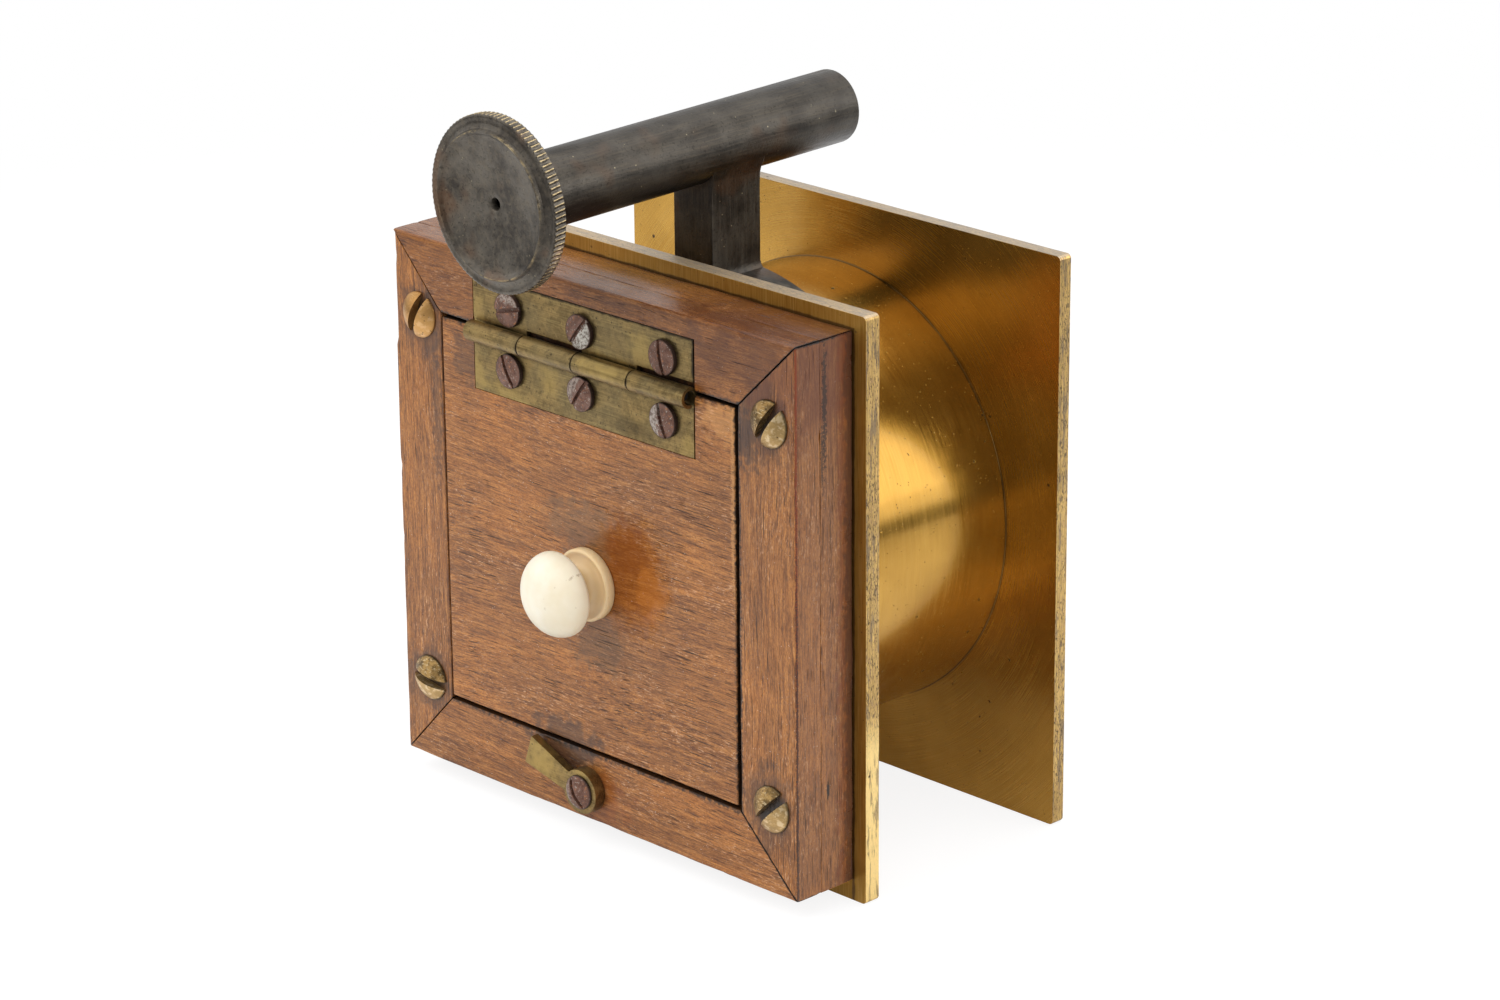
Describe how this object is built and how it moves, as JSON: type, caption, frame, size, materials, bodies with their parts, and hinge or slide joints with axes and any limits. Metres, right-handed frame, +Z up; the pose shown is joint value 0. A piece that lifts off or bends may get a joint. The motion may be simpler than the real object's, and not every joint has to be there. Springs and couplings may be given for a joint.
{
  "type": "wet plate camera",
  "caption": "Small brass and walnut wet plate camera: two plates joined by a drum, a hinged wooden back, a peep sight on a post and a capped lens.",
  "frame": {"origin": "middle of the bottom edge of the rear brass plate, on the surface the camera stands on", "axes": "+Z up, +Y along the lens axis towards the subject, +X to the right of the user who stands at -Y"},
  "size_m": [0.098, 0.1054, 0.1264],
  "materials": {
    "rail_wood": "satin",
    "inner_wood": "satin",
    "door_wood": "satin",
    "plate_brass": "brushed and lacquered",
    "hinge_brass": "dull",
    "screw_brass": "satin",
    "rusty_steel": "rusty",
    "bone": "polished",
    "black_brass": "blackened",
    "silver": "tarnished",
    "plate_glass": "clear",
    "lens_glass": "polished",
    "velvet": "pile"
  },
  "bodies": {
    "camera": {"rear_plate": "plate_brass", "drum": "plate_brass", "front_plate": "plate_brass", "front_rail_top": "rail_wood", "front_rail_bottom": "rail_wood", "front_stile_left": "rail_wood", "front_stile_right": "rail_wood", "rear_rail_top": "inner_wood", "rear_rail_bottom": "inner_wood", "rear_stile_left": "inner_wood", "rear_stile_right": "inner_wood", "hinge_leaf_upper": "hinge_brass", "hinge_pin": "hinge_brass", "hinge_screws_upper": "rusty_steel", "turn_button_screw": "rusty_steel", "corner_screws": "screw_brass", "plate_corners": "silver", "glass_plate": "plate_glass", "finder_saddle": "black_brass", "saddle_screws": "screw_brass", "finder_post": "black_brass", "finder_tube": "black_brass", "lens_flange": "plate_brass", "flange_screws": "plate_brass", "lens_barrel": "plate_brass", "lens_crown": "lens_glass", "lens_flint": "lens_glass", "lens_retaining_ring": "plate_brass", "aperture_stop": "black_brass", "lens_hood": "plate_brass"},
    "door": {"door_panel": "door_wood", "hinge_leaf_lower": "hinge_brass", "hinge_screws_lower": "rusty_steel", "door_knob": "bone", "knob_screw": "rusty_steel", "pressure_springs": "hinge_brass", "spring_screws": "screw_brass"},
    "turn_button": {"turn_button": "hinge_brass"},
    "eyepiece": {"eyepiece_disc": "black_brass"},
    "cap": {"lens_cap": "plate_brass", "cap_lining": "velvet"}
  },
  "joints": [
    {"name": "door_hinge", "type": "hinge", "parent": "camera", "child": "door", "pos_m": [0, -0.01485, 0.0821], "axis": [-1, 0, 0], "range_deg": [0, 105]},
    {"name": "button_turn", "type": "hinge", "parent": "camera", "child": "turn_button", "pos_m": [-0.00145, -0.0141, 0.00905], "axis": [0, 1, 0], "range_deg": [-46, 189]},
    {"name": "eyepiece_draw", "type": "slide", "parent": "camera", "child": "eyepiece", "axis": [0, -0.9998, -0.0175], "range_m": [0, 0.006]},
    {"name": "cap_pull", "type": "slide", "parent": "camera", "child": "cap", "axis": [0, 1, 0], "range_m": [0, 0.03]}
  ]
}
